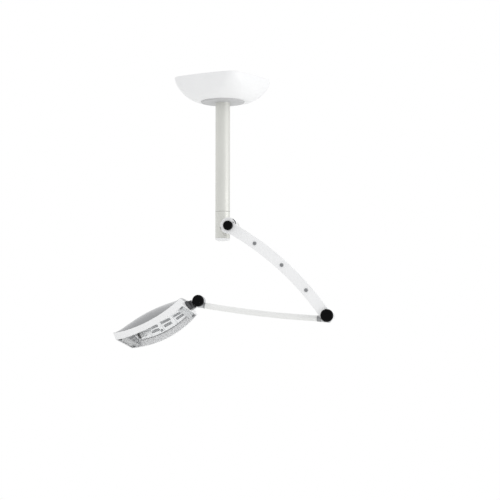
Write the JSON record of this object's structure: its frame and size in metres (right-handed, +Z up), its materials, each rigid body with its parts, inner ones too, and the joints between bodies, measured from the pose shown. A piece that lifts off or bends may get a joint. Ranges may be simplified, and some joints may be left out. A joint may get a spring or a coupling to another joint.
{
  "type": "dental operating light",
  "caption": "Ceiling-hung dental operating light with a canopy, pole, curved upper arm, slim forearm and a tilting, rolling lamp head.",
  "frame": {"origin": "pole axis at the ceiling, in the top face of the mounting plate", "axes": "+Z up along the pole, +X towards the elbow at rest, arm pivots along Y"},
  "size_m": [0.7669, 0.316, 0.9372],
  "materials": {
    "white_paint": "satin white powder coat",
    "pale_paint": "glossy pale grey paint",
    "white_plastic": "moulded white, semi-gloss",
    "grey_plastic": "moulded mid grey, fine texture",
    "cast_grey": "light grey paint on a casting",
    "dark_casting": "dark grey paint on a casting",
    "black_plastic": "black, glossy",
    "black_metal": "black heat-proof paint",
    "black_ceramic": "black glazed",
    "zinc_steel": "zinc plated",
    "dark_steel": "dark mill finish",
    "bronze": "sintered bronze",
    "copper_tape": "amber tape over copper wire",
    "lead_sheath": "grey sheath",
    "reflector_mirror": "bright faceted reflector",
    "clear_shield": "clear acrylic",
    "lamp_glass": "quartz glass"
  },
  "bodies": {
    "ceiling_mount": {"mounting_plate": "zinc_steel", "pole_flange": "zinc_steel", "flange_bolts": "zinc_steel", "pole_tube": "pale_paint", "pole_locking_screw": "zinc_steel", "canopy_shell": "white_plastic", "canopy_base_ring": "white_plastic", "transformer_core": "dark_steel", "transformer_winding": "copper_tape", "terminal_block": "white_plastic", "fuse_holder": "black_plastic", "pole_lead": "lead_sheath", "pole_end_bush": "bronze", "swivel_stop_pin": "zinc_steel"},
    "swivel": {"swivel_spindle": "zinc_steel", "spindle_washer": "zinc_steel", "spindle_nut": "zinc_steel", "swivel_knuckle": "pale_paint", "swivel_cap": "white_plastic", "shoulder_pin": "zinc_steel", "shoulder_washers": "zinc_steel", "shoulder_nut": "zinc_steel", "shoulder_cap": "black_plastic"},
    "upper_arm": {"upper_arm_rear_shell": "white_plastic", "upper_arm_front_cover": "white_plastic", "upper_arm_spine": "dark_steel", "shoulder_bush": "bronze", "elbow_bush": "bronze", "upper_arm_screws": "zinc_steel", "upper_arm_lead": "lead_sheath"},
    "forearm": {"elbow_pin": "zinc_steel", "elbow_washers": "zinc_steel", "elbow_nut": "zinc_steel", "elbow_cap": "black_plastic", "elbow_knuckle": "cast_grey", "forearm_ferrules": "grey_plastic", "forearm_tube": "white_paint", "forearm_lead": "lead_sheath", "head_knuckle": "cast_grey", "tilt_bush": "bronze"},
    "head_bracket": {"head_bracket": "dark_casting", "tilt_pin": "zinc_steel", "tilt_spring_washer": "zinc_steel", "tilt_nut": "zinc_steel", "tilt_cap": "black_plastic", "roll_spindle": "zinc_steel", "roll_washers": "zinc_steel", "roll_nut": "zinc_steel"},
    "lamp_head": {"head_bezel": "white_plastic", "front_shield": "clear_shield", "head_fixings": "zinc_steel", "head_rear_housing": "grey_plastic", "switch_housing": "black_plastic", "reflector": "reflector_mirror", "pivot_plate": "zinc_steel", "lamp_bracket": "black_metal", "lampholder": "black_ceramic", "halogen_lamp": "lamp_glass", "heat_filter": "lamp_glass"},
    "rocker": {"power_rocker": "black_plastic"}
  },
  "joints": [
    {"name": "pole_swivel", "type": "hinge", "parent": "ceiling_mount", "child": "swivel", "pos_m": [0, 0, -0.4635], "axis": [0, 0, 1], "range_deg": [-160, 160]},
    {"name": "shoulder", "type": "hinge", "parent": "swivel", "child": "upper_arm", "pos_m": [0.0333, -0.047, -0.517], "axis": [0, 1, 0], "range_deg": [-35, 25]},
    {"name": "elbow", "type": "hinge", "parent": "upper_arm", "child": "forearm", "pos_m": [0.37333, -0.03, -0.82532], "axis": [0, 1, 0], "range_deg": [-70, 12]},
    {"name": "head_tilt", "type": "hinge", "parent": "forearm", "child": "head_bracket", "pos_m": [-0.08109, 0, -0.77234], "axis": [0, 1, 0], "range_deg": [-45, 60]},
    {"name": "head_roll", "type": "hinge", "parent": "head_bracket", "child": "lamp_head", "pos_m": [-0.08109, 0, -0.77234], "axis": [0.8949, 0, 0.4462], "range_deg": [-60, 45]},
    {"name": "power_switch", "type": "hinge", "parent": "lamp_head", "child": "rocker", "pos_m": [-0.24706, 0.05487, -0.8339], "axis": [0.8949, 0, 0.4462], "range_deg": [-8, 8]}
  ]
}
